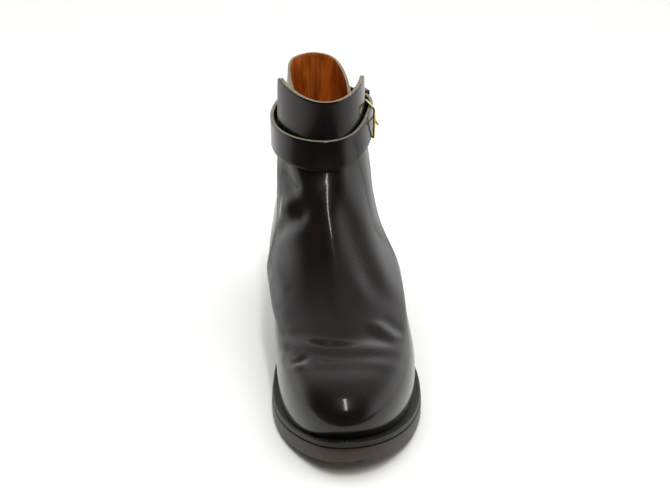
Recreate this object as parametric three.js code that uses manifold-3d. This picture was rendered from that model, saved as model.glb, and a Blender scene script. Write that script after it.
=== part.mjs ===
import * as THREE from 'three';
import { mergeVertices } from 'three/addons/utils/BufferGeometryUtils.js';
import Module from 'manifold-3d';

const wasm = await Module();
wasm.setup();

// A jodhpur boot for the left foot, standing empty on its sole. Lengths are in millimetres, +Z is up,
// the toe points towards -Y and the outer side of the foot is +X. The origin is on the floor, under
// the middle of the heel. "along" is measured from the tip of the outsole towards the heel.

// driving dimensions
const outsoleLength = 298;
const ballWidth = 102;
const heelLength = 72;
const heelHeight = 23;
const topPieceThickness = 6;
const liftCount = 3;
const toeSpring = 10;
const outsoleThickness = 10;
const weltThickness = 4;
const weltInset = 0.6;
const collarHeight = 168;
const wall = 1.8;
const panelThickness = 1.4;
const backStripThickness = 1.1;
const backStripWidth = 8;
const insoleRise = 1.6;
const strapWidth = 18.4;
const strapThickness = 2.4;
const strapHeight = collarHeight - 35;
const buckleWire = 1.9;
const prongWire = 1.6;
const chapeThickness = 1.2;
const keeperThickness = 0.8;
const clearance = 0.3;
const archGap = 4;

// places that follow from them
const toeY = heelLength / 2 - outsoleLength;
const flatFront = 0.262 * outsoleLength;
const flatRear = 0.356 * outsoleLength;
const archEnd = outsoleLength - heelLength - archGap;
const stackBelowUpper = outsoleThickness + weltThickness + 2 * clearance;
const skinDepth = panelThickness + clearance;
const liningDepth = skinDepth + wall;

const { cos, sin, PI, hypot, abs, min, max, floor, sqrt, round, sign } = Math;
const mix = (a, b, share) => a + (b - a) * share;
const clamp = (value) => min(1, max(0, value));
const smooth = (value) => clamp(value) ** 3 * (clamp(value) * (6 * clamp(value) - 15) + 10);
const degrees = (value) => value * PI / 180;

// The rings of the last, from the sole's edge to the collar. "front" and "back" are the ring's ends:
// along in hundredths of the outsole's length, and rise in hundredths of the height left to the
// collar. "sag" is how far the ring's middle hangs, "lean" how far its front stands off the centre
// line, both in hundredths of the ball width. "edge" is the front panel's edge, in degrees from the
// front. "half" holds the half-widths in hundredths of the ball width, every 30 degrees from the
// front round by the outer side, where an ellipse has the same number all the way round.
const rings = [
  { front: [2.4, 0], back: [98.3, 0], sag: 0, lean: 0, edge: 100,
    half: [62, 60, 58, 40, 35, 53, 57, 52, 33, 27, 43.5, 53] },
  { front: [1.5, 6], back: [99.2, 7], sag: 0, lean: 0, edge: 99,
    half: [64, 62, 60, 42, 37, 56, 60, 55, 35, 30, 45, 55] },
  { front: [2.8, 14.5], back: [99.6, 17], sag: 2, lean: 0, edge: 95,
    half: [62, 61, 58, 43, 39, 55, 59, 54, 37, 34, 44, 53] },
  { front: [8.2, 20], back: [99, 27], sag: 5, lean: 0, edge: 90,
    half: [58, 57, 54, 43, 39, 51, 55, 50, 37, 36, 42, 50] },
  { front: [19.5, 21], back: [97.7, 37], sag: 8, lean: 1, edge: 83,
    half: [55, 55, 53, 48, 38, 43, 47, 42, 36, 41, 44, 48] },
  { front: [32.5, 26.5], back: [96.3, 46], sag: 9, lean: 2, edge: 78,
    half: [49, 49, 49, 44, 34, 36, 39, 35, 32, 39, 44, 46] },
  { front: [44.6, 38], back: [95.3, 55], sag: 8, lean: 2, edge: 76,
    half: [42, 40, 38, 35, 30, 31, 34, 31, 29, 31, 36, 38] },
  { front: [54.7, 51.5], back: [95, 65], sag: 6, lean: 2, edge: 76,
    half: [35, 34, 34, 34, 31, 30, 31, 29, 29, 32, 33, 33] },
  { front: [61.2, 66], back: [95.3, 76], sag: 3, lean: 2, edge: 77,
    half: [31, 31, 32, 32, 30, 29, 30, 28, 29, 30, 31, 30] },
  { front: [64.3, 82], back: [96, 88], sag: 1, lean: 2, edge: 76,
    half: [30, 30, 30, 30, 28, 28, 29, 30, 29, 31, 31, 29] },
  { front: [66.2, 105.5], back: [97, 103], sag: 0, lean: 2, edge: 72,
    half: [30, 30, 30, 30, 28, 28, 29, 31, 31, 32, 31, 29] },
];

// The outsole's outline: half-widths in hundredths of the ball width every 22.5 degrees, as above.
const outsoleHalf = [66, 66, 65, 60, 46, 38, 45, 56, 56, 55, 44, 34, 30, 45, 54, 51];

// Collar and slits. The front flap's corners are the two ears; the quarter's wings tuck in behind.
const frontRim = collarHeight - 1;
const earRise = 8;
const earRadius = 5;
const flapLean = 1;
const slitLevel = 6.7;
const slitGap = 1.2;
const wingDrop = 6;
const wingBend = { outer: 11, inner: 14 };
const bendLevel = 7.8;
const wingReach = 7;
const flapHalfGirth = 48;
const wingGirth = 150;

// The underside of the outsole: toe spring, flat tread, arch and the level seat on the heel.
const underside = (along) => toeSpring * max(0, 1 - along / flatFront) ** 2.1
  + heelHeight * smooth((along - flatRear) / (archEnd - flatRear));
const seat = (along) => underside(along) + stackBelowUpper;

// Uniform cubic B-spline weights, and the two splines that use them.
const weights = (f) => [(1 - f) ** 3 / 6, (3 * f ** 3 - 6 * f ** 2 + 4) / 6,
  (1 + 3 * f + 3 * f ** 2 - 3 * f ** 3) / 6, f ** 3 / 6];

function openSpline(values, place) {
  const end = values.length - 1;
  const start = min(end - 1, max(0, floor(place)));
  const at = (k) => {
    if (k < 0) return 2 * values[0] - values[1];
    if (k > end) return 2 * values[end] - values[end - 1];
    return values[k];
  };
  return weights(place - start).reduce((sum, w, k) => sum + w * at(start - 1 + k), 0);
}

function closedSpline(values, place) {
  const count = values.length;
  const start = floor(place);
  const at = (k) => values[((k % count) + count) % count];
  return weights(place - start).reduce((sum, w, k) => sum + w * at(start - 1 + k), 0);
}

const column = (pick) => rings.map(pick);
const table = {
  frontAlong: column((r) => r.front[0] * outsoleLength / 100),
  backAlong: column((r) => r.back[0] * outsoleLength / 100),
  frontRise: column((r) => r.front[1] / 100),
  backRise: column((r) => r.back[1] / 100),
  sag: column((r) => r.sag * ballWidth / 100),
  lean: column((r) => r.lean * ballWidth / 100),
  edge: column((r) => degrees(r.edge)),
  half: rings[0].half.map((_, k) => column((r) => r.half[k] * ballWidth / 100)),
};
const topLevel = rings.length - 1;
const settle = 6;     // rings over which the sole's own curve fades out

// A point of the boot's outermost skin: angle from the front round by the outer side, level by rings.
function skinPoint(angle, level) {
  const share = (1 - cos(angle)) / 2;
  const frontSeat = seat(table.frontAlong[0]);
  const backSeat = seat(table.backAlong[0]);
  const frontHeight = mix(frontSeat, collarHeight, openSpline(table.frontRise, level));
  const backHeight = mix(backSeat, collarHeight, openSpline(table.backRise, level));
  const along = mix(openSpline(table.frontAlong, level), openSpline(table.backAlong, level), share);
  const footAlong = mix(table.frontAlong[0], table.backAlong[0], share);
  const curve = (seat(footAlong) - mix(frontSeat, backSeat, share)) * max(0, 1 - level / settle) ** 3;
  const half = closedSpline(table.half.map((values) => openSpline(values, level)), angle * 6 / PI);
  return new THREE.Vector3(
    openSpline(table.lean, level) * (1 - share) + half * sin(angle),
    toeY + along,
    mix(frontHeight, backHeight, share) + curve - openSpline(table.sag, level) * sin(angle) ** 2,
  );
}

function skinNormal(angle, level) {
  const step = 0.01;
  const low = max(0, level - step);
  const high = min(topLevel, level + step);
  const around = skinPoint(angle + step, level).sub(skinPoint(angle - step, level));
  const upward = skinPoint(angle, high).sub(skinPoint(angle, low));
  return around.cross(upward).normalize();
}

const edgeAngle = (level) => openSpline(table.edge, level);

// Height above the slit's lower end, 0 to 1.
const slitShare = (level) => clamp((level - slitLevel) / (topLevel - slitLevel));

// Two zones share the skin. The flap runs across the front, place -1 to 1 from edge to edge; the
// wings run round the back, place 0 to 1. Above the slit each zone has its own small bend.
const zones = {
  flap: {
    angle: (place, level) => place * edgeAngle(level),
    rim: (place) => frontRim + earRise * place ** 2 - corner((1 - abs(place)) * flapHalfGirth),
    shift: (place, level) => new THREE.Vector3(flapLean * slitShare(level), 0, 0),
  },
  wings: {
    angle: (place, level) => mix(edgeAngle(level), 2 * PI - edgeAngle(level), place),
    rim: (place) => collarHeight - wingDrop * abs(2 * place - 1) ** 2
      - corner((0.5 - abs(place - 0.5)) * wingGirth),
    shift: (place, level) => {
      const high = slitShare(level);
      const near = smooth((abs(2 * place - 1) - 0.1) / 0.9);
      const bend = place < 0.5 ? -wingBend.outer : wingBend.inner;
      const bent = clamp((level - bendLevel) / (topLevel - bendLevel)) ** 1.5;
      const slide = slitGap * smooth(high / 0.12) - wingReach * smooth((high - 0.45) / 0.55);
      return new THREE.Vector3(bend * near * bent, slide * near, 0);
    },
  },
};

// How far a rounded corner falls below the rim, at a distance from the free edge.
function corner(distance) {
  const inside = max(0, earRadius - max(0, distance));
  return earRadius - sqrt(earRadius ** 2 - inside ** 2);
}

// The level at which a place of a zone reaches its rim.
function rimLevel(zone, place) {
  let low = slitLevel;
  let high = topLevel;
  for (let k = 0; k < 30; k += 1) {
    const middle = (low + high) / 2;
    if (skinPoint(zone.angle(place, middle), middle).z < zone.rim(place)) low = middle;
    else high = middle;
  }
  return low;
}

// A point at a depth under the skin. On the lowest ring it stands on the welt.
function zonePoint(zone, place, level, depth) {
  const angle = zone.angle(place, level);
  const point = skinPoint(angle, level).addScaledVector(skinNormal(angle, level), -depth);
  if (level === 0) point.z = seat(point.y - toeY);
  return point.add(zone.shift(place, level));
}

// Collects faces, welds what meets and gives one closed geometry.
class Faces {
  constructor() {
    this.corners = [];
  }

  quad(a, b, c, d) {
    this.corners.push(a, b, c, a, c, d);
  }

  geometry() {
    const index = new Map();
    const position = [];
    const faces = [];
    const weld = (p) => {
      const key = [p.x, p.y, p.z].map((value) => round(value * 2000)).join();
      if (!index.has(key)) {
        index.set(key, position.length / 3);
        position.push(p.x, p.y, p.z);
      }
      return index.get(key);
    };
    for (let k = 0; k < this.corners.length; k += 3) {
      const [a, b, c] = [0, 1, 2].map((n) => weld(this.corners[k + n]));
      if (a !== b && b !== c && c !== a) faces.push(a, b, c);
    }
    const geometry = new THREE.BufferGeometry();
    geometry.setAttribute('position', new THREE.Float32BufferAttribute(position, 3));
    geometry.setIndex(faces);
    geometry.computeVertexNormals();
    return geometry;
  }
}

// A curved sheet with a wall: outer and inner skins over a grid, closed along its free edges.
// openFrom is the row above which the two end columns are free; the rest joins another sheet.
function addSheet(faces, outer, inner, openFrom) {
  const lastColumn = outer.length - 1;
  const lastRow = outer[0].length - 1;
  for (let c = 0; c < lastColumn; c += 1) {
    for (let r = 0; r < lastRow; r += 1) {
      faces.quad(outer[c][r], outer[c + 1][r], outer[c + 1][r + 1], outer[c][r + 1]);
      faces.quad(inner[c][r], inner[c][r + 1], inner[c + 1][r + 1], inner[c + 1][r]);
    }
    faces.quad(outer[c][lastRow], outer[c + 1][lastRow], inner[c + 1][lastRow], inner[c][lastRow]);
    faces.quad(inner[c][0], inner[c + 1][0], outer[c + 1][0], outer[c][0]);
  }
  for (let r = openFrom; r < lastRow; r += 1) {
    faces.quad(outer[lastColumn][r], inner[lastColumn][r], inner[lastColumn][r + 1],
      outer[lastColumn][r + 1]);
    faces.quad(inner[0][r], outer[0][r], outer[0][r + 1], inner[0][r + 1]);
  }
}

const lowRows = 13;
const highRows = 7;

function zoneGrid(zone, places, depth) {
  return places.map((place) => {
    const rim = rimLevel(zone, place);
    const grid = [];
    for (let r = 0; r <= lowRows; r += 1) grid.push(slitLevel * r / lowRows);
    for (let r = 1; r <= highRows; r += 1) grid.push(mix(slitLevel, rim, r / highRows));
    return grid.map((level) => zonePoint(zone, place, level, depth));
  });
}

const steps = (count) => Array.from({ length: count + 1 }, (_, k) => k / count);
const flapSteps = 30;
const wingSteps = 28;
const flapPlaces = steps(flapSteps).map((share) => mix(2 * share - 1, sin((share - 0.5) * PI), 0.5));
const wingPlaces = steps(wingSteps).map((share) => mix(share, (1 - cos(share * PI)) / 2, 0.5));

function upper() {
  const faces = new Faces();
  for (const [zone, places] of [[zones.flap, flapPlaces], [zones.wings, wingPlaces]]) {
    addSheet(faces, zoneGrid(zone, places, skinDepth), zoneGrid(zone, places, liningDepth), lowRows);
  }
  return faces.geometry();
}

function frontPanel() {
  const faces = new Faces();
  addSheet(faces, zoneGrid(zones.flap, flapPlaces, 0),
    zoneGrid(zones.flap, flapPlaces, panelThickness), 0);
  return faces.geometry();
}

function backStrip() {
  const reach = backStripWidth / (4 * PI * table.half[6][topLevel]);
  const places = steps(4).map((share) => 0.5 + (share - 0.5) * 4 * reach);
  const faces = new Faces();
  const under = skinDepth - clearance;
  addSheet(faces, zoneGrid(zones.wings, places, under - backStripThickness),
    zoneGrid(zones.wings, places, under), 0);
  return faces.geometry();
}

// Flat plates. A ring is a list of points round an outline; equal angles face each other across it.
const ringAngles = [
  ...flapPlaces.slice(flapSteps / 2).map((place) => zones.flap.angle(place, 0)),
  ...wingPlaces.slice(1, wingSteps).map((place) => zones.wings.angle(place, 0)),
  ...flapPlaces.slice(0, flapSteps / 2).map((place) => zones.flap.angle(place, 0) + 2 * PI),
];
const ringCount = ringAngles.length;

function outlineRing(point, inset, height) {
  return ringAngles.map((angle) => {
    const centre = point(angle);
    const tangent = point(angle + 0.01).sub(point(angle - 0.01)).setZ(0).normalize();
    const place = new THREE.Vector3(centre.x - tangent.y * inset, centre.y + tangent.x * inset, 0);
    return place.setZ(height(place.y - toeY));
  });
}

function outsoleEdge(angle) {
  const half = closedSpline(outsoleHalf, angle * 8 / PI) * ballWidth / 100;
  return new THREE.Vector3(half * sin(angle), toeY + outsoleLength * (1 - cos(angle)) / 2, 0);
}

const footprint = (angle) => skinPoint(angle, 0);

function addSide(faces, low, high) {
  low.forEach((point, k) => {
    const next = (k + 1) % low.length;
    faces.quad(point, low[next], high[next], high[k]);
  });
}

// A plate from rings stacked upwards, closed by strips that cross it.
function plate(stack) {
  const faces = new Faces();
  for (let k = 0; k + 1 < stack.length; k += 1) addSide(faces, stack[k], stack[k + 1]);
  const bottom = stack[0];
  const top = stack[stack.length - 1];
  const across = (k) => (ringCount - k) % ringCount;
  for (let k = 0; k < ringCount / 2; k += 1) {
    faces.quad(bottom[k], bottom[across(k)], bottom[across(k + 1)], bottom[k + 1]);
    faces.quad(top[k], top[k + 1], top[across(k + 1)], top[across(k)]);
  }
  return faces.geometry();
}

const bottomBevel = 1;
const topBevel = 1;

function outsole() {
  const level = (rise) => (along) => underside(along) + rise;
  return plate([
    outlineRing(outsoleEdge, bottomBevel, level(0)),
    outlineRing(outsoleEdge, 0, level(bottomBevel)),
    outlineRing(outsoleEdge, 0, level(outsoleThickness - topBevel)),
    outlineRing(outsoleEdge, weltInset, level(outsoleThickness)),
  ]);
}

function welt() {
  const low = (along) => underside(along) + outsoleThickness + clearance;
  const high = (along) => low(along) + weltThickness;
  const stack = [
    outlineRing(outsoleEdge, weltInset, low),
    outlineRing(outsoleEdge, weltInset, high),
    outlineRing(footprint, liningDepth, high),
    outlineRing(footprint, liningDepth, low),
  ];
  const faces = new Faces();
  stack.forEach((ring, k) => addSide(faces, ring, stack[(k + 1) % stack.length]));
  return faces.geometry();
}

function insole() {
  const low = (along) => underside(along) + outsoleThickness + clearance;
  const high = (along) => seat(along) + insoleRise;
  return plate([
    outlineRing(footprint, liningDepth + clearance, low),
    outlineRing(footprint, liningDepth + clearance, high),
  ]);
}

// One layer of the heel: the outsole's outline behind a slightly hollow breast.
const breastHollow = 5;
const heelTaper = 2.5;
const heelInset = 1;

function heelLayer(bottom, thickness) {
  const breast = toeY + outsoleLength - heelLength;
  const inset = heelInset + heelTaper * (1 - (bottom + thickness) / heelHeight);
  const edge = outlineRing(outsoleEdge, inset, () => 0)
    .filter((point) => point.y > breast + heelInset);
  const first = edge[0];
  const final = edge[edge.length - 1];
  const shape = new THREE.Shape();
  shape.moveTo(first.x, breast);
  edge.forEach((point) => shape.lineTo(point.x, point.y));
  shape.lineTo(final.x, breast);
  shape.quadraticCurveTo((first.x + final.x) / 2, breast + 2 * breastHollow, first.x, breast);
  const geometry = new THREE.ExtrudeGeometry(shape, { depth: thickness, bevelEnabled: false,
    curveSegments: 6 });
  return geometry.translate(0, 0, bottom);
}

// The ankle strap. Its inner face stands off the skin by these amounts, every 20 degrees from the
// sewn end beside the back strip, round the inner side and the front, to the free end outside.
const strapStart = -150;
const strapStep = 20;
const strapOff = [-1.6, -1.2, -0.4, 0.6, 1.3, 2.6, 1.8, 0.6, 0.6, 1.6, 2, 1.8, 5, 2.8, 1];
const strapRise = [3, 2, 1, 0, 0, 0, 0, 0, 0, 1, 4.4, 8.2, 8.6, 8, 7];
const strapEnd = strapStart + strapStep * (strapOff.length - 1);
const strapPlace = (angle) => (angle - strapStart) / strapStep;
const strapMiddle = (angle) => strapHeight + openSpline(strapRise, strapPlace(angle));
const strapInner = (angle) => openSpline(strapOff, strapPlace(angle));

// The level of the skin at a height, at an angle.
function levelAt(angle, height) {
  let low = 0;
  let high = topLevel;
  for (let k = 0; k < 30; k += 1) {
    const middle = (low + high) / 2;
    if (skinPoint(angle, middle).z < height) low = middle;
    else high = middle;
  }
  return low;
}

// A point level with a height, at an angle in degrees, standing off the skin.
function offSkin(angle, height, off) {
  const turn = degrees(angle);
  const level = levelAt(turn, height);
  const normal = skinNormal(turn, level).setZ(0).normalize();
  return skinPoint(turn, level).addScaledVector(normal, off).setZ(height);
}

const tipSpan = 14;         // degrees over which the free end narrows
const tipNarrowing = 0.75;

function strapColumn(angle, extra) {
  const tip = clamp((strapEnd - angle) / tipSpan);
  const half = strapWidth / 2 * sqrt(1 - (1 - tip) ** 2 * tipNarrowing);
  const middle = strapMiddle(angle);
  return [middle - half, middle, middle + half]
    .map((height) => offSkin(angle, height, strapInner(angle) + extra));
}

// The buckle stands on the outer side: a wire frame, a prong round its back bar, a short strap that
// folds round the same bar, and a keeper for the free end.
const frontBarAngle = 68;
const backBarAngle = 87;
const keeperAngle = 112;
const chapeEnd = 140;
const frameHeight = strapWidth + 2 * (2 * clearance + buckleWire);
const barGap = buckleWire / 2 + clearance;
// The prong rises from the back bar to the front bar: how far behind the back bar and how far out
// from it, in shares of its own reach.
const prongRise = [[-1.65, 1.2], [-2.55, 2.1], [-3.9, 2]];
const prongHole = [-2.75, -0.75];     // the strap's hole, behind the back bar in the same shares
const prongOverhang = 2.4;
const cutDepth = 9;
const strapLean = 1.3;      // how far the strap's lower edge stands out from its middle
const frameCorner = 1.6;
const chapeOff = [-0.9, -0.5, 0.1, 0.4, 0.2, -0.2];     // from its sewn end to the buckle's bar
const keeperLow = -0.3;
const keeperHalfTurn = 5.7;   // degrees
const frontBar = strapInner(frontBarAngle) + strapThickness + barGap + strapLean;
const noseReach = barGap + chapeThickness;
const prongReach = barGap + prongWire / 2;
const backBar = strapInner(backBarAngle) - 0.2 - prongReach - prongWire / 2;
const buckleMiddle = strapMiddle((frontBarAngle + backBarAngle) / 2);

const frontCentre = offSkin(frontBarAngle, buckleMiddle, frontBar);
const backCentre = offSkin(backBarAngle, buckleMiddle, backBar);
const rearward = backCentre.clone().sub(frontCentre).normalize();
const outward = new THREE.Vector3(rearward.y, -rearward.x, 0);
const upward = new THREE.Vector3(0, 0, 1);
// A point in the plan of the buckle: so far behind the back bar, so far out from it.
const byBar = (behind, out, height = buckleMiddle) => backCentre.clone()
  .addScaledVector(rearward, behind).addScaledVector(outward, out).setZ(height);

function buckleFrame() {
  const halfHigh = (frameHeight - buckleWire) / 2;
  const halfLong = frontCentre.distanceTo(backCentre) / 2;
  const centre = frontCentre.clone().add(backCentre).multiplyScalar(0.5);
  const corners = [[1, 1], [-1, 1], [-1, -1], [1, -1]];
  const path = corners.flatMap(([u, v], k) => steps(4).map((share) => {
    const turn = (k + share) * PI / 2;
    return { turn, u: u * (halfLong - frameCorner) + frameCorner * cos(turn),
      v: v * (halfHigh - frameCorner) + frameCorner * sin(turn) };
  }));
  const stations = path.map(({ u, v, turn }) => {
    const radial = rearward.clone().multiplyScalar(cos(turn)).addScaledVector(upward, sin(turn));
    const point = centre.clone().addScaledVector(rearward, u).addScaledVector(upward, v);
    return steps(8).slice(0, 8).map((share) => point.clone()
      .addScaledVector(radial, cos(share * 2 * PI) * buckleWire / 2)
      .addScaledVector(outward, -sin(share * 2 * PI) * buckleWire / 2));
  });
  const faces = new Faces();
  stations.forEach((ring, k) => addSide(faces, ring, stations[(k + 1) % stations.length]));
  return faces.geometry();
}

// The prong: nearly a full turn round the back bar, out through the strap, and on to the front bar.
function buckleProng() {
  const turns = steps(10).map((share) => mix(-1.35 * PI, 0.35 * PI, share));
  const points = turns.map((turn) => byBar(-prongReach * sin(turn), prongReach * cos(turn)));
  for (const [behind, out] of prongRise) points.push(byBar(prongReach * behind, prongReach * out));
  const rest = frontCentre.clone().addScaledVector(outward, barGap + prongWire / 2);
  points.push(rest, rest.clone().addScaledVector(rearward, -prongOverhang));
  const circle = new THREE.Shape().absarc(0, 0, prongWire / 2, 0, 2 * PI);
  return new THREE.ExtrudeGeometry(circle, { steps: 40, bevelEnabled: false, curveSegments: 4,
    extrudePath: new THREE.CatmullRomCurve3(points, false, 'centripetal') });
}

// A closed mesh as a solid that can be cut, and back.
function solid(geometry) {
  const bare = geometry.clone();
  bare.deleteAttribute('normal');
  bare.deleteAttribute('uv');
  const merged = mergeVertices(bare, 1e-4);
  return new wasm.Manifold(new wasm.Mesh({ numProp: 3,
    vertProperties: new Float32Array(merged.attributes.position.array),
    triVerts: new Uint32Array(merged.index.array) }));
}

function cut(geometry, tool) {
  const result = solid(geometry).subtract(solid(tool)).getMesh();
  const cutGeometry = new THREE.BufferGeometry();
  cutGeometry.setAttribute('position', new THREE.BufferAttribute(result.vertProperties, 3));
  cutGeometry.setIndex(new THREE.BufferAttribute(result.triVerts, 1));
  cutGeometry.computeVertexNormals();
  return cutGeometry;
}

// A block in the buckle's plan, for the strap's hole and the notch in the short strap.
function barBlock(behindFrom, behindTo, outFrom, outTo, height) {
  const corners = [[behindFrom, outFrom], [behindTo, outFrom], [behindTo, outTo], [behindFrom, outTo]];
  const ring = (level) => corners.map(([behind, out]) => byBar(behind, out, buckleMiddle + level));
  const low = ring(-height / 2).reverse();
  const high = ring(height / 2).reverse();
  const faces = new Faces();
  addSide(faces, low, high);
  faces.quad(low[3], low[2], low[1], low[0]);
  faces.quad(high[0], high[1], high[2], high[3]);
  return faces.geometry();
}

function ankleStrap() {
  const angles = steps(56).map((share) => mix(strapStart, strapEnd, share));
  const faces = new Faces();
  addSheet(faces, angles.map((angle) => strapColumn(angle, strapThickness)),
    angles.map((angle) => strapColumn(angle, 0)), 0);
  const hole = barBlock(prongReach * prongHole[0], prongReach * prongHole[1], -1, cutDepth,
    prongWire + 4 * clearance);
  return cut(faces.geometry(), hole);
}

// The short strap: sewn down beside the back strip, folded round the buckle's back bar.
function chape() {
  const flat = (point) => new THREE.Vector2(point.x, point.y);
  const angles = steps(10).map((share) => mix(chapeEnd, backBarAngle + 8, share));
  const inner = (angle) => {
    const share = (chapeEnd - angle) / (chapeEnd - backBarAngle);
    return mix(openSpline(chapeOff, share * (chapeOff.length - 1)), backBar - noseReach, share ** 3);
  };
  const near = angles.map((angle) => flat(offSkin(angle, buckleMiddle, inner(angle))));
  const nose = steps(8).map((share) => {
    const turn = -PI / 2 + share * PI;
    return flat(byBar(-noseReach * cos(turn), noseReach * sin(turn)));
  });
  const fold = (angle) => max(0, 1 - (angle - backBarAngle) / 20) ** 1.2 * 2 * barGap * 1.2;
  const far = angles.slice().reverse().map((angle) => flat(offSkin(angle, buckleMiddle,
    inner(angle) + chapeThickness + fold(angle))));
  const shape = new THREE.Shape([...near, ...nose, ...far]);
  const hole = new THREE.Path();
  const bar = flat(backCentre);
  hole.absarc(bar.x, bar.y, barGap, 0, 2 * PI);
  shape.holes.push(hole);
  const strip = new THREE.ExtrudeGeometry(shape, { depth: strapWidth, bevelEnabled: false,
    curveSegments: 8 });
  strip.translate(0, 0, buckleMiddle - strapWidth / 2);
  const notch = barBlock(-noseReach - 1, noseReach + 1.5, -noseReach - 2, noseReach + 2,
    prongWire + 4 * clearance);
  return cut(strip, notch);
}

function keeper() {
  const [first, second] = [-1, 1].map((side) => keeperAngle + side * keeperHalfTurn);
  const loop = (angle, grow) => {
    const from = keeperLow - grow;
    const to = strapInner(angle) + strapThickness + 5 * clearance + grow;
    const half = strapWidth / 2 + 3 * clearance + grow;
    const middle = (strapMiddle(keeperAngle) + buckleMiddle) / 2;
    return [[from, half], [to, half], [to, -half], [from, -half]]
      .map(([off, rise]) => offSkin(angle, middle, off).setZ(middle + rise));
  };
  const stack = [loop(first, keeperThickness), loop(second, keeperThickness), loop(second, 0),
    loop(first, 0)];
  const faces = new Faces();
  stack.forEach((ring, k) => addSide(faces, ring, stack[(k + 1) % stack.length]));
  return faces.geometry();
}

const materials = {
  leather: new THREE.MeshStandardMaterial({ color: 0x1d1a18, roughness: 0.3, metalness: 0 }),
  sole: new THREE.MeshStandardMaterial({ color: 0x2b2724, roughness: 0.6, metalness: 0 }),
  insole: new THREE.MeshStandardMaterial({ color: 0xb9651f, roughness: 0.7, metalness: 0 }),
  rubber: new THREE.MeshStandardMaterial({ color: 0x1b1b1b, roughness: 0.8, metalness: 0 }),
  brass: new THREE.MeshStandardMaterial({ color: 0xd9bf68, roughness: 0.3, metalness: 1 }),
};

const boot = new THREE.Group();

function addPiece(name, geometry, material) {
  const mesh = new THREE.Mesh(geometry, materials[material]);
  mesh.name = name;
  boot.add(mesh);
}

addPiece('outsole', outsole(), 'sole');
addPiece('welt', welt(), 'leather');
addPiece('insole', insole(), 'insole');
addPiece('upper', upper(), 'leather');
addPiece('front_panel', frontPanel(), 'leather');
addPiece('back_strip', backStrip(), 'leather');
addPiece('heel_top_piece', heelLayer(0, topPieceThickness), 'rubber');
const liftThickness = (heelHeight - topPieceThickness - clearance) / liftCount - clearance;
for (let k = 0; k < liftCount; k += 1) {
  const bottom = topPieceThickness + clearance + k * (liftThickness + clearance);
  addPiece(`heel_lift_${k + 1}`, heelLayer(bottom, liftThickness), 'sole');
}
addPiece('ankle_strap', ankleStrap(), 'leather');
addPiece('buckle_strap', chape(), 'leather');
addPiece('buckle_frame', buckleFrame(), 'brass');
addPiece('buckle_prong', buckleProng(), 'brass');
addPiece('strap_keeper', keeper(), 'leather');

export default boot;
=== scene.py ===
import math

import bpy
import numpy as np
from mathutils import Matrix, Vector


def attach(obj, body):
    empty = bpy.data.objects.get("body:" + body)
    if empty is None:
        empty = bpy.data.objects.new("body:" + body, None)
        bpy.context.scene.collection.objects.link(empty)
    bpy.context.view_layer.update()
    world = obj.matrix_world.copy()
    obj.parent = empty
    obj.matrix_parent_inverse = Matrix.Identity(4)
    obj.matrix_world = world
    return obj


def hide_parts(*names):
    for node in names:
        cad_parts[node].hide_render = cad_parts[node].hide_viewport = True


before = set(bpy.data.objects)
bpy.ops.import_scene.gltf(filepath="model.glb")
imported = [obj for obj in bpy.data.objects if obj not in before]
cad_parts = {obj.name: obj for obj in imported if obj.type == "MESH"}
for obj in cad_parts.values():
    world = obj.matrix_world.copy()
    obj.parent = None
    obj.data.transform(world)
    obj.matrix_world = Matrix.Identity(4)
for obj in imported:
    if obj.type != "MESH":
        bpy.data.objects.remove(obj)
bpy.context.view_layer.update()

mm = 0.001

# sizes
# The last and the sole, in millimetres, with the meanings that the part's own tables have.
last = {
    "outsoleLength": 298, "ballWidth": 102, "heelLength": 72, "heelHeight": 23,
    "toeSpring": 10, "outsole": 10, "welt": 4, "collar": 168, "clearance": 0.3,
    "flatFront": 0.262, "flatRear": 0.356, "archGap": 4,
    "panel": 1.4, "quarter": 1.1, "lining": 0.7, "settle": 6,
}
ringFront = [(2.4, 0), (1.5, 6), (2.8, 14.5), (8.2, 20), (19.5, 21), (32.5, 26.5), (44.6, 38),
             (54.7, 51.5), (61.2, 66), (64.3, 82), (66.2, 105.5)]
ringBack = [(98.3, 0), (99.2, 7), (99.6, 17), (99, 27), (97.7, 37), (96.3, 46), (95.3, 55),
            (95, 65), (95.3, 76), (96, 88), (97, 103)]
ringSag = [0, 0, 2, 5, 8, 9, 8, 6, 3, 1, 0]
ringLean = [0, 0, 0, 0, 1, 2, 2, 2, 2, 2, 2]
panelEdge = [100, 99, 95, 90, 83, 78, 76, 76, 77, 76, 72]
ringHalf = [
    [62, 60, 58, 40, 35, 53, 57, 52, 33, 27, 43.5, 53],
    [64, 62, 60, 42, 37, 56, 60, 55, 35, 30, 45, 55],
    [62, 61, 58, 43, 39, 55, 59, 54, 37, 34, 44, 53],
    [58, 57, 54, 43, 39, 51, 55, 50, 37, 36, 42, 50],
    [55, 55, 53, 48, 38, 43, 47, 42, 36, 41, 44, 48],
    [49, 49, 49, 44, 34, 36, 39, 35, 32, 39, 44, 46],
    [42, 40, 38, 35, 30, 31, 34, 31, 29, 31, 36, 38],
    [35, 34, 34, 34, 31, 30, 31, 29, 29, 32, 33, 33],
    [31, 31, 32, 32, 30, 29, 30, 28, 29, 30, 31, 30],
    [30, 30, 30, 30, 28, 28, 29, 30, 29, 31, 31, 29],
    [30, 30, 30, 30, 28, 28, 29, 31, 31, 32, 31, 29],
]
outsoleHalf = [66, 66, 65, 60, 46, 38, 45, 56, 56, 55, 44, 34, 30, 45, 54, 51]
collar = {
    "frontRim": 167, "earRise": 8, "earRadius": 5, "flapLean": 1, "slitLevel": 6.7,
    "slitGap": 1.2, "wingDrop": 6, "bendOuter": 11, "bendInner": 14, "bendLevel": 7.8,
    "wingReach": 7, "flapHalfGirth": 48, "wingGirth": 150,
}
toeY = last["heelLength"] / 2 - last["outsoleLength"]
flatFront = last["flatFront"] * last["outsoleLength"]
flatRear = last["flatRear"] * last["outsoleLength"]
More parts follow.
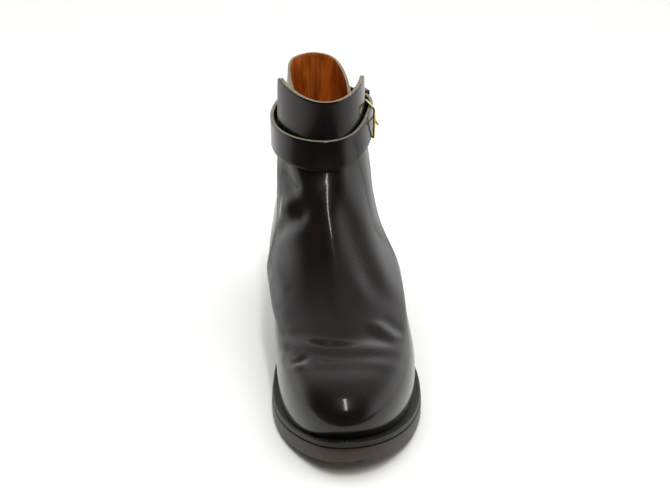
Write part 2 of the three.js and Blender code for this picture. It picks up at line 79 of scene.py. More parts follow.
archEnd = last["outsoleLength"] - last["heelLength"] - last["archGap"]
stackBelowUpper = last["outsole"] + last["welt"] + 2 * last["clearance"]
topLevel = len(ringHalf) - 1
halfTable = np.array(ringHalf, float) * last["ballWidth"] / 100


# the last as a surface
def smooth(value):
    v = np.clip(value, 0, 1)
    return v ** 3 * (v * (6 * v - 15) + 10)


def underside(along):
    lift = last["toeSpring"] * np.clip(1 - along / flatFront, 0, None) ** 2.1
    return lift + last["heelHeight"] * smooth((along - flatRear) / (archEnd - flatRear))


def seat(along):
    return underside(along) + stackBelowUpper


def cubicWeights(f):
    return [(1 - f) ** 3 / 6, (3 * f ** 3 - 6 * f ** 2 + 4) / 6,
            (1 + 3 * f + 3 * f ** 2 - 3 * f ** 3) / 6, f ** 3 / 6]


def openSpline(values, place):
    v = np.asarray(values, float)
    padded = np.concatenate([[2 * v[0] - v[1]], v, [2 * v[-1] - v[-2]]])
    start = np.clip(np.floor(place), 0, len(v) - 2).astype(int)
    return sum(w * padded[start + k] for k, w in enumerate(cubicWeights(place - start)))


def closedSpline(values, place):
    v = np.asarray(values, float)
    start = np.floor(place).astype(int)
    return sum(w * v[(start + k - 1) % len(v)] for k, w in enumerate(cubicWeights(place - start)))


def halfWidth(angle, level):
    padded = np.vstack([2 * halfTable[0] - halfTable[1], halfTable,
                        2 * halfTable[-1] - halfTable[-2]])
    row = np.clip(np.floor(level), 0, topLevel - 1).astype(int)
    turn = np.asarray(angle) * 6 / math.pi
    column = np.floor(turn).astype(int)
    total = 0
    for i, wi in enumerate(cubicWeights(level - row)):
        for j, wj in enumerate(cubicWeights(turn - column)):
            total = total + wi * wj * padded[row + i, (column + j - 1) % 12]
    return total


def skin(angle, level):
    angle, level = np.broadcast_arrays(np.asarray(angle, float), np.asarray(level, float))
    share = (1 - np.cos(angle)) / 2
    length, height = last["outsoleLength"], last["collar"]
    frontAlong, backAlong = ringFront[0][0] * length / 100, ringBack[0][0] * length / 100
    frontSeat, backSeat = seat(frontAlong), seat(backAlong)
    frontRise = openSpline([r[1] / 100 for r in ringFront], level)
    backRise = openSpline([r[1] / 100 for r in ringBack], level)
    frontHeight = frontSeat + (height - frontSeat) * frontRise
    backHeight = backSeat + (height - backSeat) * backRise
    along = (openSpline([r[0] * length / 100 for r in ringFront], level) * (1 - share)
             + openSpline([r[0] * length / 100 for r in ringBack], level) * share)
    foot = frontAlong + (backAlong - frontAlong) * share
    level0 = frontSeat + (backSeat - frontSeat) * share
    curve = (seat(foot) - level0) * np.clip(1 - level / last["settle"], 0, None) ** 3
    lean = openSpline(ringLean, level) * last["ballWidth"] / 100
    sag = openSpline(ringSag, level) * last["ballWidth"] / 100
    x = lean * (1 - share) + halfWidth(angle, level) * np.sin(angle)
    z = frontHeight + (backHeight - frontHeight) * share + curve - sag * np.sin(angle) ** 2
    return np.stack([x, toeY + along, z], -1)


def unit(v):
    return v / np.maximum(np.linalg.norm(v, axis=-1, keepdims=True), 1e-9)


def skinNormal(angle, level):
    step = 0.01
    around = skin(angle + step, level) - skin(angle - step, level)
    upward = (skin(angle, np.minimum(topLevel, level + step))
              - skin(angle, np.maximum(0, level - step)))
    return unit(np.cross(around, upward))


def edgeAngle(level):
    return np.radians(openSpline(panelEdge, level))


def slitShare(level):
    return np.clip((level - collar["slitLevel"]) / (topLevel - collar["slitLevel"]), 0, 1)


def cornerDrop(distance):
    inside = np.clip(collar["earRadius"] - np.clip(distance, 0, None), 0, None)
    return collar["earRadius"] - np.sqrt(collar["earRadius"] ** 2 - inside ** 2)


# The front flap runs from edge to edge over the front, place -1 to 1.
def flapAngle(place, level):
    return place * edgeAngle(level)


def flapRim(place):
    return (collar["frontRim"] + collar["earRise"] * place ** 2
            - cornerDrop((1 - np.abs(place)) * collar["flapHalfGirth"]))


def flapShift(place, level):
    high = slitShare(level)
    return np.stack([collar["flapLean"] * high, 0 * high, 0 * high], -1)


# The wings run round the back from the outer edge to the inner one, place 0 to 1.
def wingAngle(place, level):
    edge = edgeAngle(level)
    return edge + (2 * math.pi - 2 * edge) * place


def wingRim(place):
    return (last["collar"] - collar["wingDrop"] * np.abs(2 * place - 1) ** 2
            - cornerDrop((0.5 - np.abs(place - 0.5)) * collar["wingGirth"]))


def wingShift(place, level):
    high = slitShare(level)
    near = smooth((np.abs(2 * place - 1) - 0.1) / 0.9)
    bend = np.where(place < 0.5, -collar["bendOuter"], collar["bendInner"])
    bent = np.clip((level - collar["bendLevel"]) / (topLevel - collar["bendLevel"]), 0, 1) ** 1.5
    slide = (collar["slitGap"] * smooth(high / 0.12)
             - collar["wingReach"] * smooth((high - 0.45) / 0.55))
    return np.stack([bend * near * bent, slide * near, 0 * high], -1)


flap = {"angle": flapAngle, "rim": flapRim, "shift": flapShift}
wings = {"angle": wingAngle, "rim": wingRim, "shift": wingShift}


def rimLevel(zone, place):
    low = np.full(place.shape, float(collar["slitLevel"]))
    high = np.full(place.shape, float(topLevel))
    for _ in range(26):
        middle = (low + high) / 2
        under = skin(zone["angle"](place, middle), middle)[..., 2] < zone["rim"](place)
        low = np.where(under, middle, low)
        high = np.where(under, high, middle)
    return low


# Creases. Each follows points on the last, as degrees from the front and ring level. Heights,
# widths and reaches are in millimetres: a ridge is positive and a trough negative, and "behind"
# and "ahead" are the heights of the soft waves on either side of it.
creases = [
    # the roll across the ball of the foot and the second roll in front of it
    {"line": [(-46, 3.9), (-28, 3.97), (-11, 4.11), (9, 4.07), (22, 3.89), (34, 3.61), (46, 2.87),
              (53, 2.0)], "height": 0.7, "width": 7, "behind": -0.6, "ahead": -0.45, "reach": 10},
    {"line": [(-40, 3.3), (-24, 3.54), (-15, 3.67), (4, 3.74), (14, 3.61), (26, 3.34), (42, 2.52),
              (46, 1.7)], "height": 0.3, "width": 6, "behind": 0, "ahead": -0.25, "reach": 9},
    # short folds at the inner end of the roll
    {"line": [(-50, 3.2), (-40, 3.26), (-34, 3.37), (-28, 3.42), (-20, 3.3)],
     "height": -0.6, "width": 3.2, "behind": 0.3, "ahead": 0.3, "reach": 5},
    {"line": [(-52, 2.5), (-42, 2.75), (-34, 3.16), (-28, 3.5), (-20, 3.8)],
     "height": -0.55, "width": 3, "behind": 0.3, "ahead": 0.2, "reach": 5},
    # the slanting fold outside the instep
    {"line": [(22, 4.7), (31, 4.24), (38, 3.81), (49, 3.0)],
     "height": 0.8, "width": 6, "behind": -0.5, "ahead": -0.5, "reach": 9},
    # the fold at the inner ankle, a dark hollow with two arms
    {"line": [(-68, 7.9), (-56, 7.7), (-47, 7.46), (-38, 7.26), (-28, 7.14), (-18, 7.11)],
     "height": -1.5, "width": 6.5, "behind": 1.1, "ahead": 0.2, "reach": 12},
    {"line": [(-14, 7.12), (-26, 7.04), (-38, 6.86), (-50, 6.58), (-64, 6.2), (-74, 5.9)],
     "height": -1.7, "width": 7.5, "behind": 0.2, "ahead": 1.4, "reach": 13},
    # the shin's ridge, and the soft band down the outer side
    {"line": [(-4, 8.4), (-3, 7.46), (0, 6.9), (1, 6.3), (1, 5.7), (0, 5.0), (-1, 4.4)],
     "height": 0.8, "width": 6, "behind": -0.2, "ahead": -0.3, "reach": 11},
    {"line": [(16, 7.9), (20, 7.2), (25, 6.5), (29, 5.74), (33, 5.1), (38, 4.5)],
     "height": -1.3, "width": 9, "behind": 0.8, "ahead": 0.8, "reach": 14},
    # pinches on the inner side between ankle and ball
    {"line": [(-80, 4.6), (-68, 4.4), (-58, 4.44), (-46, 4.7)],
     "height": -0.7, "width": 4.5, "behind": 0.4, "ahead": 0.4, "reach": 8},
    {"line": [(-72, 2.9), (-60, 3.3), (-50, 3.57), (-38, 3.75)],
     "height": -0.6, "width": 4.5, "behind": 0.4, "ahead": 0.3, "reach": 7},
    # soft folds on the outer quarter, over the ankle and the waist
    {"line": [(70, 6.9), (92, 6.5), (116, 6.5), (138, 6.8)],
     "height": -0.8, "width": 7, "behind": 0.5, "ahead": 0.6, "reach": 12},
    {"line": [(84, 5.3), (104, 5.5), (126, 5.9)],
     "height": -0.5, "width": 6, "behind": 0.4, "ahead": 0.3, "reach": 10},
    # the same on the inner quarter
    {"line": [(286, 6.7), (262, 6.5), (240, 6.6), (222, 6.9)],
     "height": -0.8, "width": 7, "behind": 0.5, "ahead": 0.6, "reach": 12},
]


def creaseLine(crease):
    count = len(crease["line"]) - 1
    place = np.linspace(0, count, 12 * count + 1)
    angle = openSpline([p[0] for p in crease["line"]], place)
    level = openSpline([p[1] for p in crease["line"]], place)
    return skin(np.radians(angle), level), skinNormal(np.radians(angle), level)


def creaseRelief(angle, level):
    points = skin(angle, level)
    total = np.zeros(points.shape[:-1])
    closeness = np.zeros(total.shape)
    for crease in creases:
        line, normals = creaseLine(crease)
        lengths = np.linalg.norm(np.diff(line, axis=0), axis=-1)
        starts = np.concatenate([[0], np.cumsum(lengths)])
        best = np.full(total.shape, 1e9)
        side = np.zeros(total.shape)
        along = np.zeros(total.shape)
        for k, length in enumerate(lengths):
            run = (line[k + 1] - line[k]) / length
            away = points - line[k]
            share = np.clip((away * run).sum(-1), 0, length)
            rest = away - share[..., None] * run
            far = np.linalg.norm(rest, axis=-1)
            closer = far < best
            across = (rest * np.cross(normals[k], run)).sum(-1)
            best = np.where(closer, far, best)
            side = np.where(closer, across, side)
            along = np.where(closer, starts[k] + share, along)
        run = along / starts[-1]
        fade = smooth(run / 0.35) * smooth((1 - run) / 0.35)
        signed = np.sign(side) * best
        width, reach = crease["width"], crease["reach"]
        shape = crease["height"] * np.exp(-(signed / width) ** 2)
        shape += crease["behind"] * np.exp(-((signed - reach) / width) ** 2)
        shape += crease["ahead"] * np.exp(-((signed + reach) / width) ** 2)
        total += shape * fade
        closeness = np.maximum(closeness, fade * np.exp(-(best / (1.6 * width)) ** 2))
    return total, closeness


def zonePoint(zone, place, level, depth):
    angle = zone["angle"](place, level)
    lift = creaseRelief(angle, level)[0]
    point = skin(angle, level) + skinNormal(angle, level) * (lift - depth)[..., None]
    foot = np.clip(1 - level / 0.35, 0, 1)
    point[..., 2] += (seat(point[..., 1] - toeY) - point[..., 2]) * foot * (level < 1e-6)
    return point + zone["shift"](place, level)


print("last worked out")


# helpers for pieces
def deselect():
    if bpy.context.object and bpy.context.object.mode == "EDIT":
        bpy.ops.object.mode_set(mode="OBJECT")
    bpy.ops.object.select_all(action="DESELECT")


def addGrid(name, columns, rows):
    deselect()
    bpy.ops.mesh.primitive_grid_add(x_subdivisions=columns, y_subdivisions=rows, size=2)
    piece = bpy.context.object
    piece.name = name
    piece.data.name = name
    return piece


def readPlaces(piece):
    flat = np.empty(len(piece.data.vertices) * 3, np.float32)
    piece.data.vertices.foreach_get("co", flat)
    co = flat.reshape(-1, 3).astype(float)
    return (co[:, 0] + 1) / 2, (co[:, 1] + 1) / 2


def writePoints(piece, points):
    piece.data.vertices.foreach_set("co", (points * mm).astype(np.float32).ravel())
    piece.data.update()


def mergeEdges(piece, distance=0.00002):
    deselect()
    piece.select_set(True)
    bpy.context.view_layer.objects.active = piece
    bpy.ops.object.mode_set(mode="EDIT")
    bpy.ops.mesh.select_all(action="SELECT")
    bpy.ops.mesh.remove_doubles(threshold=distance)
    bpy.ops.mesh.normals_make_consistent(inside=False)
    bpy.ops.object.mode_set(mode="OBJECT")


def applyModifiers(piece):
    deselect()
    piece.select_set(True)
    bpy.context.view_layer.objects.active = piece
    for modifier in list(piece.modifiers):
        bpy.ops.object.modifier_apply(modifier=modifier.name)


def smoothShade(piece, degrees=40):
    deselect()
    piece.select_set(True)
    bpy.context.view_layer.objects.active = piece
    bpy.ops.object.shade_smooth_by_angle(angle=math.radians(degrees))


def finishPiece(piece, materials, nodes=()):
    if not piece.data.materials:
        for material in materials:
            piece.data.materials.append(material)
    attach(piece, "root")
    if nodes:
        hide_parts(*nodes)
    return piece


def wallSheet(piece, thickness, edgeRound=0.25):
    wall = piece.modifiers.new("wall", "SOLIDIFY")
    wall.thickness = thickness * mm
    wall.offset = -1
    wall.use_even_offset = True
    wall.material_offset_rim = 1
    wall.material_offset = 2
    if edgeRound:
        bevel = piece.modifiers.new("edge", "BEVEL")
        bevel.width = edgeRound * mm
        bevel.segments = 2
        bevel.limit_method = "ANGLE"
        bevel.angle_limit = math.radians(60)
        bevel.harden_normals = False
    applyModifiers(piece)


# materials
def toLinear(hexColour):
    channels = [int(hexColour[k:k + 2], 16) / 255 for k in (1, 3, 5)]
    return [c / 12.92 if c <= 0.04045 else ((c + 0.055) / 1.055) ** 2.4 for c in channels] + [1]


def addNode(tree, kind, settings=None, **links):
    node = tree.nodes.new(kind)
    for key, value in (settings or {}).items():
        if key.startswith("in:"):
            node.inputs[key[3:]].default_value = value
        else:
            setattr(node, key, value)
    for key, source in links.items():
        socket = node.inputs[int(key[1:])] if key[0] == "_" else node.inputs[key.replace("_", " ")]
        tree.links.new(source, socket)
    return node


def newMaterial(name, settings):
    material = bpy.data.materials.new(name)
    material.use_nodes = True
    shader = material.node_tree.nodes["Principled BSDF"]
    for key, value in settings.items():
        shader.inputs[key].default_value = value
    return material, material.node_tree, shader


# Polished calf: near-black brown, fine pores, thin wrinkles where the skin is creased, and a worn
# haze in broad soft patches. The wax polish is the coat.
calfLook = {
    "dark": "#0c0908", "brown": "#1a1310", "haze": "#4a423c", "poreScale": 900, "poreDepth": 0.10,
    "wrinkleScale": 420, "wrinkleDepth": 0.5, "patchScale": 38, "scuffScale": 520,
}


# Mixes two colours, each a hex value or the output of another node.
def mixColours(tree, share, first, second):
    node = addNode(tree, "ShaderNodeMix", {"data_type": "RGBA"}, _0=share)
    for index, colour in ((6, first), (7, second)):
        if isinstance(colour, str):
            node.inputs[index].default_value = toLinear(colour)
        else:
            tree.links.new(colour, node.inputs[index])
    return node.outputs[2]


def polishedCalf():
    look = calfLook
    material, tree, shader = newMaterial("polished black-brown calf", {
        "IOR": 1.3, "Coat Weight": 0.62, "Coat Roughness": 0.12, "Coat IOR": 1.5})
    place = addNode(tree, "ShaderNodeTexCoord").outputs["Object"]
    patches = addNode(tree, "ShaderNodeTexNoise", {"in:Scale": look["patchScale"], "in:Detail": 4},
                      Vector=place)
    colour = mixColours(tree, patches.outputs["Fac"], look["dark"], look["brown"])
    # scuffs: small pale flecks where a fine noise and a broad one are both high
    flecks = addNode(tree, "ShaderNodeTexNoise", {"in:Scale": look["scuffScale"], "in:Detail": 3},
                     Vector=place)
    fleck = addNode(tree, "ShaderNodeMapRange", {
        "in:From Min": 0.68, "in:From Max": 0.78, "in:To Max": 0.55}, Value=flecks.outputs["Fac"])
    where = addNode(tree, "ShaderNodeMapRange", {"in:From Min": 0.52, "in:From Max": 0.66},
                    Value=patches.outputs["Fac"])
    scuff = addNode(tree, "ShaderNodeMath", {"operation": "MULTIPLY"}, _0=fleck.outputs["Result"],
                    _1=where.outputs["Result"])
    worn = mixColours(tree, scuff.outputs["Value"], colour, look["haze"])
    tree.links.new(worn, shader.inputs["Base Color"])
    gloss = addNode(tree, "ShaderNodeMapRange", {"in:To Min": 0.26, "in:To Max": 0.46},
                    Value=patches.outputs["Fac"])
    tree.links.new(gloss.outputs["Result"], shader.inputs["Roughness"])
    # pores everywhere, thin wrinkles by the creases
    pores = addNode(tree, "ShaderNodeTexVoronoi", {"in:Scale": look["poreScale"]}, Vector=place)
    stretch = addNode(tree, "ShaderNodeMapping", Vector=place)
    stretch.inputs["Scale"].default_value = (1, 1, 2.6)
    wrinkles = addNode(tree, "ShaderNodeTexNoise", {
        "in:Scale": look["wrinkleScale"], "in:Detail": 4, "in:Distortion": 0.6},
        Vector=stretch.outputs["Vector"])
    creased = addNode(tree, "ShaderNodeAttribute", {"attribute_name": "creased"})
    wrinkle = addNode(tree, "ShaderNodeMath", {"operation": "MULTIPLY"},
                      _0=wrinkles.outputs["Fac"], _1=creased.outputs["Fac"])
    poreBump = addNode(tree, "ShaderNodeBump", {
        "in:Strength": look["poreDepth"], "in:Distance": 0.0002},
        Height=pores.outputs["Distance"])
    wrinkleBump = addNode(tree, "ShaderNodeBump", {
        "in:Strength": look["wrinkleDepth"], "in:Distance": 0.0006},
        Height=wrinkle.outputs["Value"], Normal=poreBump.outputs["Normal"])
    tree.links.new(wrinkleBump.outputs["Normal"], shader.inputs["Normal"])
    return material


# A mottled surface: two colours mixed by noise, with a bump of the same grain. "stretch" draws the
# grain out along the height, as streaks.
def mottled(name, first, second, scale, roughness, depth=0.0002, stretch=1.0, detail=5, **more):
    settings = {"Roughness": roughness}
    settings.update({key.replace("_", " "): value for key, value in more.items()})
    material, tree, shader = newMaterial(name, settings)
    place = addNode(tree, "ShaderNodeTexCoord").outputs["Object"]
    drawn = addNode(tree, "ShaderNodeMapping", Vector=place)
    drawn.inputs["Scale"].default_value = (1, 1, 1 / stretch)
    grain = addNode(tree, "ShaderNodeTexNoise", {
        "in:Scale": scale, "in:Detail": detail, "in:Roughness": 0.62},
        Vector=drawn.outputs["Vector"])
    share = addNode(tree, "ShaderNodeMapRange", {"in:From Min": 0.34, "in:From Max": 0.66},
                    Value=grain.outputs["Fac"])
    colour = mixColours(tree, share.outputs["Result"], first, second)
    tree.links.new(colour, shader.inputs["Base Color"])
    bump = addNode(tree, "ShaderNodeBump", {"in:Strength": 0.5, "in:Distance": depth},
                   Height=grain.outputs["Fac"])
    tree.links.new(bump.outputs["Normal"], shader.inputs["Normal"])
    return material, tree, shader, colour


# The sole's edge: stained near black, rubbed brown at the toe where the stain has worn off.
toeWear = {"colour": "#4a2712", "from": -0.236, "to": -0.262, "most": 0.6}


def soleEdgeLeather():
    material, tree, shader, colour = mottled("stained sole edge", "#141211", "#2a2521", 420, 0.5,
                                             0.0005, Coat_Weight=0.1, Coat_Roughness=0.3)
    place = addNode(tree, "ShaderNodeTexCoord").outputs["Object"]
    parts = addNode(tree, "ShaderNodeSeparateXYZ", Vector=place)
    nearToe = addNode(tree, "ShaderNodeMapRange", {
        "in:From Min": toeWear["from"], "in:From Max": toeWear["to"], "in:To Max": toeWear["most"]},
        Value=parts.outputs["Y"])
    patches = addNode(tree, "ShaderNodeTexNoise", {"in:Scale": 130, "in:Detail": 5}, Vector=place)
    share = addNode(tree, "ShaderNodeMapRange", {"in:From Min": 0.36, "in:From Max": 0.58},
                    Value=patches.outputs["Fac"])
    rubbed = addNode(tree, "ShaderNodeMath", {"operation": "MULTIPLY"},
                     _0=nearToe.outputs["Result"], _1=share.outputs["Result"])
    worn = mixColours(tree, rubbed.outputs["Value"], colour, toeWear["colour"])
    tree.links.new(worn, shader.inputs["Base Color"])
    return material


calf = polishedCalf()
# the fibrous cut edge of the leather, left raw; its pale grey-brown is partly the raw edge's own
# colour and partly a painted highlight of the light that the cut edges catch
cutEdgeAndHighlight = mottled("raw cut leather edge with painted highlight", "#5f5848", "#9b927e", 900, 0.8, 0.0003)[0]
# the rough side of the leather, seen only where the panel lifts off
fleshSide = mottled("brushed flesh side", "#3b281a", "#5f422a", 700, 0.88)[0]
# tan lining, rubbed darker in streaks that run down the leg
liningCalf = mottled("orange-tan lining calf", "#8a3c08", "#d0701f", 150, 0.5, 0.0002, 7.0)[0]
weltLeather = mottled("waxed welt leather", "#0b0a09", "#191613", 600, 0.5, 0.0003,
                      Coat_Weight=0.1, Coat_Roughness=0.3, IOR=1.4)[0]
soleEdge = soleEdgeLeather()
# the tread, walked grey-brown
tread = mottled("worn leather tread", "#3d3025", "#6b5744", 90, 0.72, 0.0004)[0]
heelStack = mottled("stained heel lifts", "#1c1815", "#332b25", 500, 0.4, 0.0002,
                    Coat_Weight=0.2, Coat_Roughness=0.3)[0]
heelRubber = mottled("black heel rubber", "#121212", "#222221", 800, 0.68)[0]
# pale brass, handled: a little tarnish in the grain
brass = mottled("polished pale brass", "#d9bd6c", "#efdd9c", 300, 0.24, 0.00003, Metallic=1.0)[0]
blackThread = mottled("waxed black thread", "#15120f", "#2c2621", 2500, 0.5)[0]
brownThread = mottled("dark brown thread", "#160a04", "#30170a", 2500, 0.7)[0]
print("materials made")


# upper
sheetRows = {"slitShare": 0.72}


def sheetLevels(zone, place, v):
    rim = rimLevel(zone, place)
    low = collar["slitLevel"] * v / sheetRows["slitShare"]
    high = collar["slitLevel"] + (rim - collar["slitLevel"]) * (
        v - sheetRows["slitShare"]) / (1 - sheetRows["slitShare"])
    return np.where(v <= sheetRows["slitShare"], low, high)


def addMask(piece, name, values):
    mask = piece.data.attributes.new(name, "FLOAT", "POINT")
    mask.data.foreach_set("value", values.astype(np.float32))


# A sheet of leather on the last: its outer face at "depth" under the skin, its wall turned inward.
def skinSheet(name, zone, columns, rows, depth, thickness, places, materials, edgeRound=0.25):
    piece = addGrid(name, columns, rows)
    for material in materials:
        piece.data.materials.append(material)
    u, v = readPlaces(piece)
    place = places(u, v)
    level = sheetLevels(zone, place, v)
    writePoints(piece, zonePoint(zone, place, level, np.full(u.shape, float(depth))))
    addMask(piece, "creased", creaseRelief(zone["angle"](place, level), level)[1])
    wallSheet(piece, thickness, edgeRound)
    smoothShade(piece, 50)
    return piece


def wholeWay(u, v):
    return u


def bothWays(u, v):
    return 2 * u - 1


# The front lining ends a little inside the panel's edge, and further inside below the slit.
def liningWay(u, v):
    opened = smooth((v - sheetRows["slitShare"]) / 0.1 + 1)
    return (2 * u - 1) * (liningSizes["lowReach"] * (1 - opened) + liningSizes["reach"] * opened)


def backLiningWay(u, v):
    opened = smooth((v - sheetRows["slitShare"]) / 0.1 + 1)
    return 0.5 + (u - 0.5) * (liningSizes["backReach"] * (1 - opened) + opened)


def stripWay(u, v):
    return 0.5 + (u - 0.5) * 2 * stripReach


skinDepth = last["panel"] + last["clearance"]
stripSizes = {"width": 8, "thickness": 1.1, "columns": 12, "rows": 130}
liningSizes = {"front": 1.2, "gap": 0.05, "backGap": 0.02, "reach": 0.985, "lowReach": 0.86,
               "backReach": 0.93}
stripReach = stripSizes["width"] / (2 * math.pi * halfTable[topLevel][6])
# every sheet's rim takes the pale cut-edge colour, partly a painted highlight along the edges
outerSides = [calf, cutEdgeAndHighlight, fleshSide]
liningSides = [liningCalf, cutEdgeAndHighlight, liningCalf]
finishPiece(
    skinSheet("frontPanel", flap, 200, 210, 0, last["panel"], bothWays, outerSides),
    outerSides, ["front_panel"])
finishPiece(
    skinSheet("quarters", wings, 190, 130, skinDepth, last["quarter"], wholeWay, outerSides),
    outerSides, ["upper"])
finishPiece(
    skinSheet("liningBack", wings, 110, 110,
              skinDepth + last["quarter"] + liningSizes["backGap"], last["lining"], backLiningWay,
              liningSides),
    liningSides, ["upper"])
finishPiece(
    skinSheet("liningFront", flap, 100, 120, last["panel"] + liningSizes["gap"],
              liningSizes["front"], liningWay, liningSides),
    liningSides, ["upper"])
finishPiece(
    skinSheet("backStrip", wings, stripSizes["columns"], stripSizes["rows"],
              skinDepth - last["clearance"] - stripSizes["thickness"], stripSizes["thickness"],
              stripWay, outerSides),
    outerSides, ["back_strip"])
print("upper, panel, lining and back strip placed")


# sole
def footPoint(angle):
    return skin(angle, 0 * angle)


def solePoint(angle):
    half = closedSpline(outsoleHalf, angle * 8 / math.pi) * last["ballWidth"] / 100
    along = last["outsoleLength"] * (1 - np.cos(angle)) / 2
    return np.stack([half * np.sin(angle), toeY + along, 0 * angle], -1)


def inset(point, angle, amount):
    tangent = point(angle + 0.01) - point(angle - 0.01)
    tangent[..., 2] = 0
    tangent = unit(tangent)
    place = point(angle).copy()
    place[..., 0] -= tangent[..., 1] * amount
    place[..., 1] += tangent[..., 0] * amount
    return place


# A plate round an outline. The profile's rows are inset, share of the way out from the middle,
# and rise, from the middle of the underside to the middle of the top.
def slab(name, outline, profile, height, around=420, middleY=None):
    piece = addGrid(name, around, len(profile) - 1)
    u, v = readPlaces(piece)
    row = np.rint(v * (len(profile) - 1)).astype(int)
    insets, shares, rises = np.array(profile, float).T[:, row]
    point = outline(u, insets)
    point[:, 0] *= shares
    if middleY is not None:
        point[:, 1] = middleY + (point[:, 1] - middleY) * shares
    point[:, 2] = height(point[:, 1] - toeY) + rises
    writePoints(piece, point)
    mergeEdges(piece)
    smoothShade(piece, 35)
    return piece


soleSizes = {"edgeRound": 1.2, "lipRound": 0.7, "bulge": 0.15}


def outsoleSlab():
    r, lip, t = soleSizes["edgeRound"], soleSizes["lipRound"], last["outsole"]
    profile = [(r, 0, 0), (r, 0.5, 0), (r, 0.9, 0), (r, 1, 0), (r * 0.3, 1, r * 0.3), (0, 1, r),
               (-soleSizes["bulge"], 1, t * 0.5), (0, 1, t - lip),
               (lip * 0.3, 1, t - lip * 0.3), (lip, 1, t), (lip, 0.9, t), (lip, 0.5, t),
               (lip, 0, t)]
    return slab("outsoleLeather", lambda u, amount: inset(solePoint, u * 2 * math.pi, amount),
                profile, underside)


def faceDown(piece, index):
    for face in piece.data.polygons:
        if face.normal.z < -0.8:
            face.material_index = index


outsolePiece = finishPiece(outsoleSlab(), [soleEdge, tread], ["outsole"])
faceDown(outsolePiece, 1)

weltSizes = {"inset": 0.6, "round": 0.5, "inner": 3.5, "tuck": 3.0, "under": 1.2,
             "columns": 600, "rows": 8}


def weltStrip():
    piece = addGrid("weltStrip", weltSizes["columns"], weltSizes["rows"])
    u, v = readPlaces(piece)
    angle = u * 2 * math.pi
    row = np.rint(v * weltSizes["rows"]).astype(int)
    low = last["outsole"] + last["clearance"]
    t, r, edge = last["welt"], weltSizes["round"], weltSizes["inset"]
    outer = {0: (edge + r, 0), 1: (edge, r), 2: (edge, t - r), 3: (edge + r, t), 8: (edge + r, 0)}
    inner = {4: (weltSizes["under"], t), 5: (weltSizes["tuck"], t), 6: (weltSizes["inner"], t),
             7: (weltSizes["inner"], 0)}
    point = np.zeros((len(u), 3))
    for outline, rows in ((solePoint, outer), (footPoint, inner)):
        for k, (deep, rise) in rows.items():
            here = row == k
            point[here] = inset(outline, angle[here], deep)
            point[here, 2] = underside(point[here, 1] - toeY) + low + rise
    writePoints(piece, point)
    mergeEdges(piece)
    smoothShade(piece, 35)
    return piece


finishPiece(weltStrip(), [weltLeather], ["welt"])

heelSizes = {"topPiece": 6, "lifts": 3, "inset": 1, "taper": 2.5, "hollow": 5, "round": 0.35,
             "edgeShare": 0.8}
breastY = toeY + last["outsoleLength"] - last["heelLength"]
breastShare = (last["outsoleLength"] - last["heelLength"]) / last["outsoleLength"]
breastAngle = math.acos(1 - 2 * breastShare)


def heelOutline(u, amount):
    share = np.clip(u / heelSizes["edgeShare"], 0, 1)
    angle = breastAngle + (2 * math.pi - 2 * breastAngle) * share
    edge = inset(solePoint, angle, amount)
    ends = inset(solePoint, np.array([2 * math.pi - breastAngle, breastAngle]), amount.min())
    t = np.clip((u - heelSizes["edgeShare"]) / (1 - heelSizes["edgeShare"]), 0, 1)
    breast = np.zeros_like(edge)
    breast[:, 0] = ends[0][0] * (1 - t) + ends[1][0] * t
    breast[:, 1] = breastY + 4 * heelSizes["hollow"] * t * (1 - t)
    edge[:, 1] = np.maximum(edge[:, 1], breastY)
    return np.where((u > heelSizes["edgeShare"])[:, None], breast, edge)


def heelSlab(name, bottom, thickness, materials, node):
    deep = heelSizes["inset"] + heelSizes["taper"] * (1 - (bottom + thickness) / last["heelHeight"])
    r, t = heelSizes["round"], thickness
    profile = [(deep + r, 0, 0), (deep + r, 0.6, 0), (deep + r, 1, 0), (deep, 1, r),
               (deep, 1, t - r), (deep + r, 1, t), (deep + r, 0.6, t), (deep + r, 0, t)]
    piece = slab(name, heelOutline, profile, lambda along: bottom + 0 * along, 220,
                 breastY + last["heelLength"] / 2)
    finishPiece(piece, materials, [node])
    faceDown(piece, len(materials) - 1)


heelSlab("heelTopPiece", 0, heelSizes["topPiece"], [heelRubber], "heel_top_piece")
liftRoom = last["heelHeight"] - heelSizes["topPiece"] - last["clearance"]
liftThickness = liftRoom / heelSizes["lifts"] - last["clearance"]
for number in range(heelSizes["lifts"]):
    below = number * (liftThickness + last["clearance"])
    heelSlab("heelLift%d" % (number + 1), heelSizes["topPiece"] + last["clearance"] + below,
             liftThickness, [heelStack], "heel_lift_%d" % (number + 1))
print("sole, welt and heel placed")


# ankle strap
strap = {
    "start": -150, "step": 20, "height": 133, "width": 18.4, "thickness": 2.4, "tipSpan": 14,
    "tipNarrowing": 0.75, "round": 0.45, "crown": 0.15, "columns": 260,
    "off": [-1.6, -1.2, -0.4, 0.6, 1.3, 2.6, 1.8, 0.6, 0.6, 1.6, 2, 1.8, 5, 2.8, 1],
    "rise": [3, 2, 1, 0, 0, 0, 0, 0, 0, 1, 4.4, 8.2, 8.6, 8, 7],
}
strapEnd = strap["start"] + strap["step"] * (len(strap["off"]) - 1)


def levelAt(angle, height):
    low = np.zeros(angle.shape)
    high = np.full(angle.shape, float(topLevel))
    for _ in range(30):
        middle = (low + high) / 2
        under = skin(angle, middle)[..., 2] < height
        low = np.where(under, middle, low)
        high = np.where(under, high, middle)
    return low


def offSkin(degrees, height, off):
    turn = np.radians(degrees)
    level = levelAt(turn, height)
    normal = skinNormal(turn, level)
    normal[..., 2] = 0
    point = skin(turn, level) + unit(normal) * off[..., None]
    point[..., 2] = height
    return point


def strapProfile():
    r, t, crown = strap["round"], strap["thickness"], strap["crown"]
    side = [(0, 0, 0), (0.9, 0, 0), (1, -r, 0), (1, 0, r), (1, 0, t / 2), (1, 0, t - r),
            (1, -0.3 * r, t - 0.3 * r), (1, -r, t), (0.8, 0, t + 0.6 * crown), (0.4, 0, t + crown),
            (0, 0, t + crown)]
    mirrored = [(-share, -rest, off) for share, rest, off in side[-2:0:-1]]
    return side + mirrored + side[:1]
